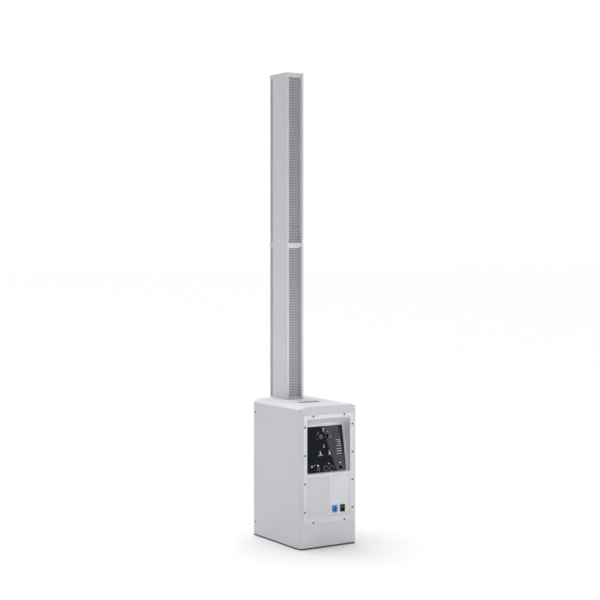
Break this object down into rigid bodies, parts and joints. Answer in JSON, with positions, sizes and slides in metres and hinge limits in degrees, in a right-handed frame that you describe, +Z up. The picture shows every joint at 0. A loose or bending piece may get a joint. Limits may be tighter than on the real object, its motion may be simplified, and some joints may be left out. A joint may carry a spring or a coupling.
{
  "type": "column pa system",
  "caption": "Column loudspeaker system: stacked slim column segments with perforated grilles that lift off a compact powered subwoofer with a rear console.",
  "frame": {"origin": "on the floor, under the centre of the whole system", "axes": "+Z up along the column; the listening side faces -Y, the amplifier panel faces +Y, +X is on the left seen from behind"},
  "size_m": [0.2874, 0.4082, 2],
  "materials": {
    "cabinet_white": "fine textured white paint over plywood",
    "panel_white": "satin moulded white",
    "base_black": "matt black",
    "rubber_black": "matt",
    "screw_dark": "dark plated",
    "grille_white": "white powder coat, punched",
    "foam_black": "open black foam or cloth",
    "board_wood": "black stained board",
    "inner_plastic": "black moulded",
    "cast_frame": "black coated casting",
    "magnet_iron": "coated ferrite and steel",
    "surround_rubber": "soft rubber",
    "cone_paper": "coated paper cone",
    "glass_black": "polished black",
    "knob_black": "soft-touch black",
    "shaft_steel": "turned steel",
    "lamp_white": "clear light pipe",
    "button_white": "lit translucent white",
    "socket_black": "black nylon",
    "inlet_blue": "blue nylon",
    "switch_black": "glossy black",
    "board_green": "solder mask",
    "supply_metal": "bare sheet",
    "heat_sink_white": "white powder coat",
    "column_white": "white powder coat",
    "cap_white": "satin moulded white",
    "contact_brass": "plated"
  },
  "bodies": {
    "subwoofer": {"amplifier_module": "board_green", "base_plate": "base_black", "cabinet_shell": "cabinet_white", "column_socket": "inner_plastic", "control_board": "board_green", "control_glass": "glass_black", "front_baffle": "board_wood", "grille_foam": "foam_black", "grille_side_screws": "screw_dark", "handle_cup": "cap_white", "heat_sink": "heat_sink_white", "indicator_lights": "lamp_white", "knob_encoders": "shaft_steel", "lower_woofer_surround": "surround_rubber", "panel_gasket": "foam_black", "panel_screws": "screw_dark", "power_inlet": "inlet_blue", "power_supply": "supply_metal", "rear_panel": "panel_white", "reflex_ports": "inner_plastic", "rocker_housing": "switch_black", "rubber_feet": "rubber_black", "signal_sockets": "socket_black", "socket_contacts": "contact_brass", "subwoofer_grille": "grille_white", "upper_woofer_surround": "surround_rubber", "woofer_frames": "cast_frame", "woofer_magnets": "magnet_iron", "woofer_screws": "screw_dark"},
    "left_knob": {"left_knob": "knob_black", "left_knob_shaft": "shaft_steel"},
    "right_knob": {"right_knob": "knob_black", "right_knob_shaft": "shaft_steel"},
    "left_button": {"left_button": "button_white"},
    "right_button": {"right_button": "button_white"},
    "mains_rocker": {"mains_rocker": "switch_black"},
    "upper_woofer_cone": {"upper_woofer_cone": "cone_paper"},
    "lower_woofer_cone": {"lower_woofer_cone": "cone_paper"},
    "lower_column": {"lower_baffle": "board_wood", "lower_contacts": "contact_brass", "lower_damping_cloth": "foam_black", "lower_driver_cones": "cone_paper", "lower_drivers": "cast_frame", "lower_foot": "cap_white", "lower_front_grille": "grille_white", "lower_head": "cap_white", "lower_plug": "inner_plastic", "lower_profile": "column_white", "lower_rear_grille": "grille_white"},
    "upper_column": {"upper_baffle": "board_wood", "upper_damping_cloth": "foam_black", "upper_driver_cones": "cone_paper", "upper_drivers": "cast_frame", "upper_foot": "cap_white", "upper_front_grille": "grille_white", "upper_head": "cap_white", "upper_plug": "inner_plastic", "upper_profile": "column_white", "upper_rear_grille": "grille_white", "tweeter_horn": "inner_plastic"}
  },
  "joints": [
    {"name": "lower_column_lift", "type": "slide", "parent": "subwoofer", "child": "lower_column", "axis": [0, 0, 1], "range_m": [0, 0.09]},
    {"name": "upper_column_lift", "type": "slide", "parent": "lower_column", "child": "upper_column", "axis": [0, 0, 1], "range_m": [0, 0.045]},
    {"name": "left_knob_turn", "type": "hinge", "parent": "subwoofer", "child": "left_knob", "pos_m": [0.0238, 0.1626, 0.45397], "axis": [0, 0.9861, 0.1661], "continuous": true},
    {"name": "right_knob_turn", "type": "hinge", "parent": "subwoofer", "child": "right_knob", "pos_m": [-0.0222, 0.1626, 0.45397], "axis": [0, 0.9861, 0.1661], "continuous": true},
    {"name": "left_button_press", "type": "slide", "parent": "subwoofer", "child": "left_button", "axis": [0, -0.9861, -0.1661], "range_m": [0, 0.0012], "stiffness_N_per_m": 800, "springref_m": -0.0008},
    {"name": "right_button_press", "type": "slide", "parent": "subwoofer", "child": "right_button", "axis": [0, -0.9861, -0.1661], "range_m": [0, 0.0012], "stiffness_N_per_m": 800, "springref_m": -0.0008},
    {"name": "mains_rocker_tilt", "type": "hinge", "parent": "subwoofer", "child": "mains_rocker", "pos_m": [-0.07, 0.19835, 0.155], "axis": [-1, 0, 0], "range_deg": [0, 16]},
    {"name": "upper_woofer_travel", "type": "slide", "parent": "subwoofer", "child": "upper_woofer_cone", "axis": [0, -1, 0], "range_m": [-0.004, 0.004], "stiffness_N_per_m": 2500, "deforming": ["upper_woofer_surround"]},
    {"name": "lower_woofer_travel", "type": "slide", "parent": "subwoofer", "child": "lower_woofer_cone", "axis": [0, -1, 0], "range_m": [-0.004, 0.004], "stiffness_N_per_m": 2500, "deforming": ["lower_woofer_surround"]}
  ]
}
